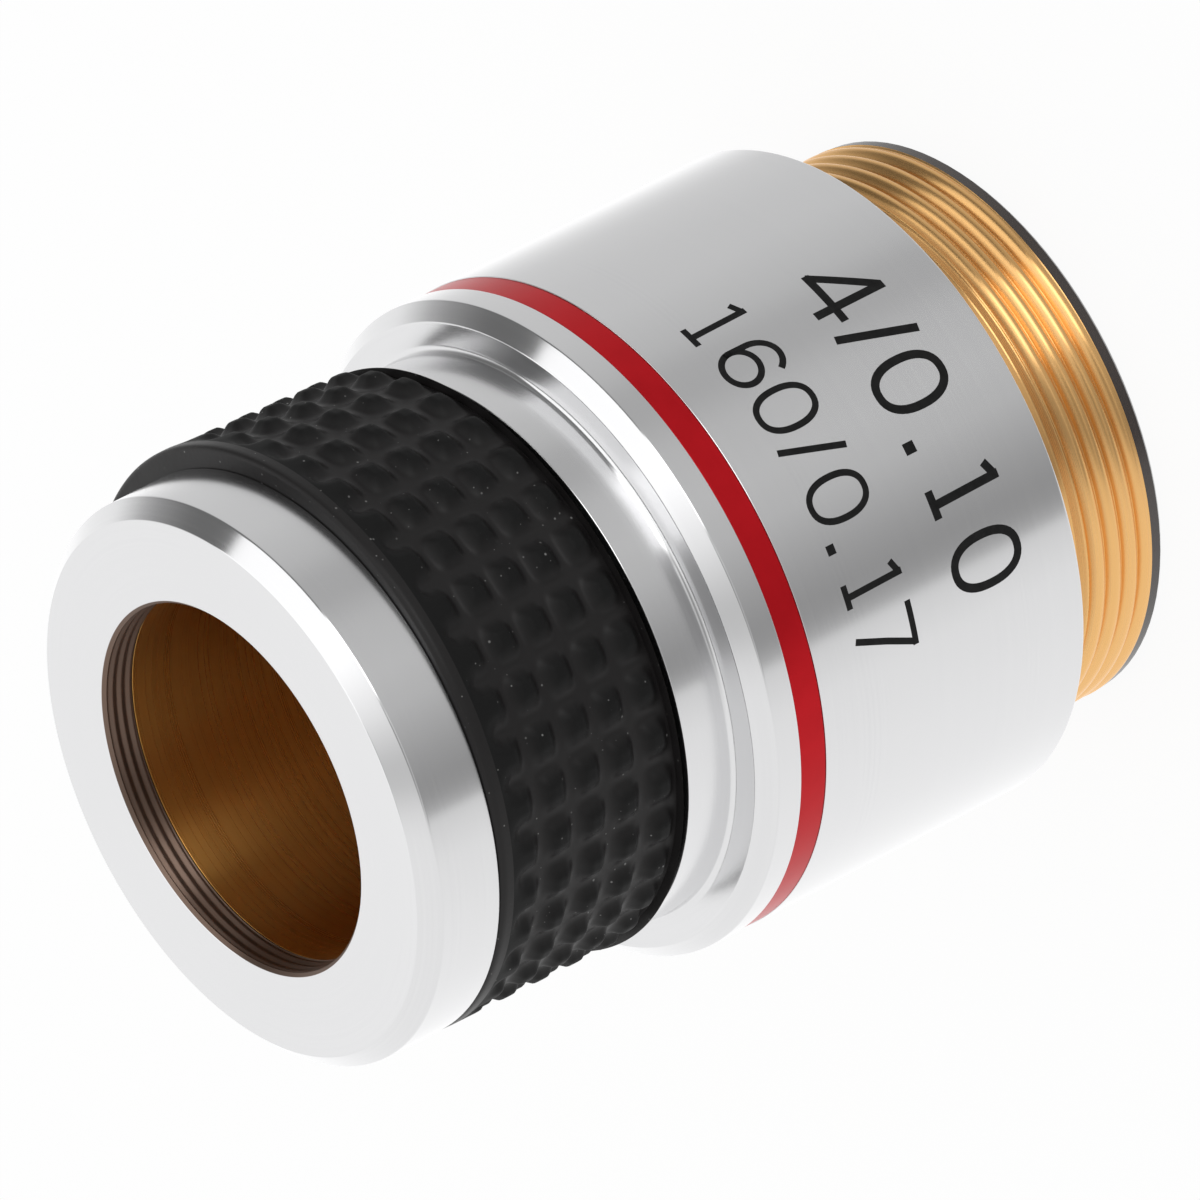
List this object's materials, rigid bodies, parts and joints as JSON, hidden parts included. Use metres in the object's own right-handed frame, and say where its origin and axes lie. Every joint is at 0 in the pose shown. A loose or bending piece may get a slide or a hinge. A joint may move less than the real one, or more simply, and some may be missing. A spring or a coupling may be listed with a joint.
{
  "type": "microscope objective",
  "caption": "Low-power microscope objective: a plated sleeve with a rubber grip and a colour band over a brass barrel with a standard mounting thread, and a cemented doublet inside.",
  "frame": {"origin": "centre of the rear ring's flat rear face, on the optical axis", "axes": "+Z along the optical axis from the mounting thread to the nose, +X to the left of a viewer who faces the marks on the body"},
  "size_m": [0.0234, 0.0234, 0.0318],
  "materials": {
    "plated_sleeve": "satin",
    "grip_rubber": "matt",
    "band_enamel": "gloss",
    "lacquered_brass": "satin",
    "black_anodised": "satin",
    "blackened_brass": "matt",
    "lens_glass": "polished"
  },
  "bodies": {
    "root": {"outer_sleeve": "plated_sleeve", "grip_ring": "grip_rubber", "colour_band": "band_enamel", "mount_barrel": "lacquered_brass", "rear_ring": "black_anodised", "lens_cell": "blackened_brass", "lens_retaining_ring": "blackened_brass", "cell_lock_ring": "blackened_brass", "aperture_stop": "blackened_brass", "parfocal_shim": "lacquered_brass", "flint_lens": "lens_glass", "crown_lens": "lens_glass"}
  },
  "joints": []
}
